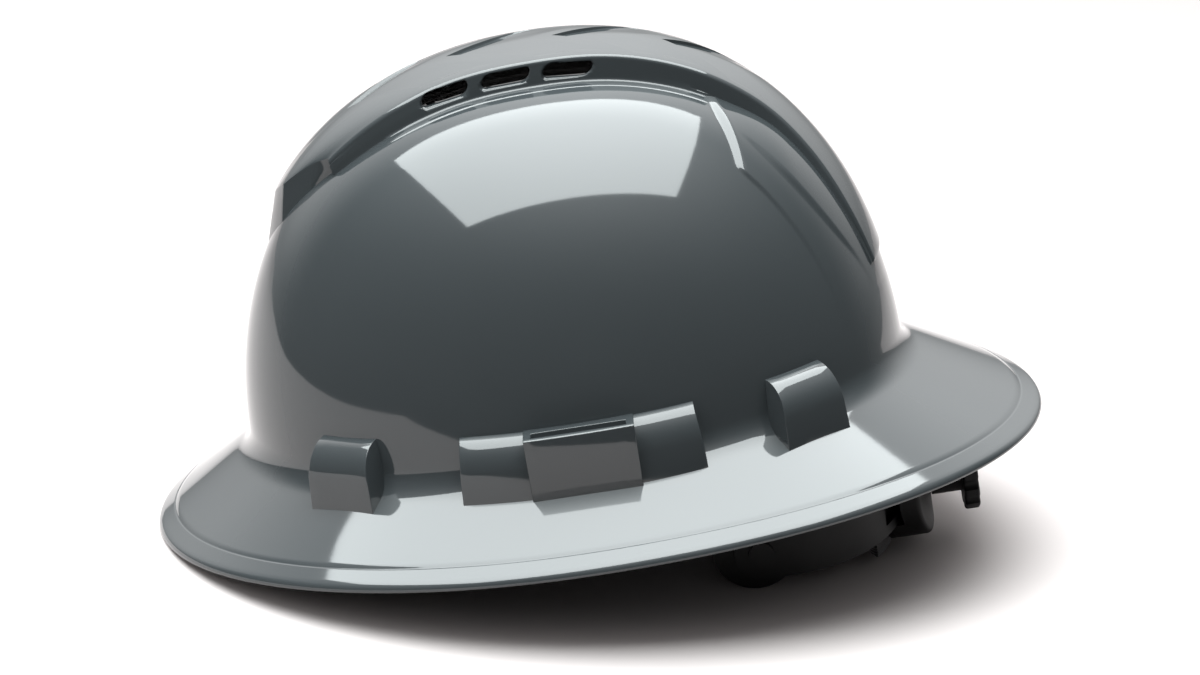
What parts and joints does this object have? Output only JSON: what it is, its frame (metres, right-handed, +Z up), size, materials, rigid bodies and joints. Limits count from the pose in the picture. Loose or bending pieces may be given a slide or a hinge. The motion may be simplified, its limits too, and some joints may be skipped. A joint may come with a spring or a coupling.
{
  "type": "full brim hard hat",
  "caption": "Full brim hard hat with a vented crest, side accessory slots, four point webbing suspension and a ratchet nape strap, lying on its brim as on a table.",
  "frame": {"origin": "on the table, under the middle of the hat's outline, as the hat lies leaning forward on its front brim with the nape lobes down", "axes": "+Z up from the table, -Y the way the wearer looks, +X the wearer's left"},
  "size_m": [0.2768, 0.3346, 0.1947],
  "materials": {
    "shell_plastic": "glossy slate grey moulded polyethylene",
    "suspension_plastic": "satin black moulded plastic",
    "ratchet_plastic": "fine textured black plastic",
    "webbing": "woven black webbing",
    "pad_fabric": "black knitted pad cloth",
    "screw_steel": "blackened steel"
  },
  "bodies": {
    "hat": {"shell": "shell_plastic", "key_front_left": "suspension_plastic", "key_front_right": "suspension_plastic", "key_rear_left": "suspension_plastic", "key_rear_right": "suspension_plastic", "crown_strap_lower": "webbing", "crown_strap_upper": "webbing"},
    "headband": {"headband": "suspension_plastic", "brow_pad": "pad_fabric", "rivet_left": "suspension_plastic", "rivet_right": "suspension_plastic"},
    "nape_straps": {"nape_strap_left": "suspension_plastic", "nape_strap_right": "suspension_plastic"},
    "ratchet": {"ratchet_housing": "ratchet_plastic", "ratchet_base_plate": "ratchet_plastic", "housing_screws": "screw_steel", "nape_pad": "pad_fabric"},
    "knob": {"ratchet_knob": "ratchet_plastic", "pinion": "ratchet_plastic", "click_spring": "ratchet_plastic", "knob_screw": "screw_steel"}
  },
  "joints": [
    {"name": "headband_height", "type": "slide", "parent": "hat", "child": "headband", "axis": [0, -0.1834, 0.983], "range_m": [-0.005, 0.005]},
    {"name": "nape_tilt", "type": "hinge", "parent": "headband", "child": "nape_straps", "pos_m": [0, 0.05956, 0.0144], "axis": [1, 0, 0], "range_deg": [-12, 8]},
    {"name": "size_slide", "type": "slide", "parent": "nape_straps", "child": "ratchet", "axis": [0, 0.983, 0.1834], "range_m": [-0.036, 0.006], "deforming": ["nape_strap_left", "nape_strap_right"]},
    {"name": "knob_spin", "type": "hinge", "parent": "ratchet", "child": "knob", "pos_m": [0, 0.12838, 0.02724], "axis": [0, 0.983, 0.1834], "range_deg": [-414, 70]}
  ],
  "couplings": [
    {"joint": "knob_spin", "follows": "size_slide", "rad_per_m": 200}
  ]
}
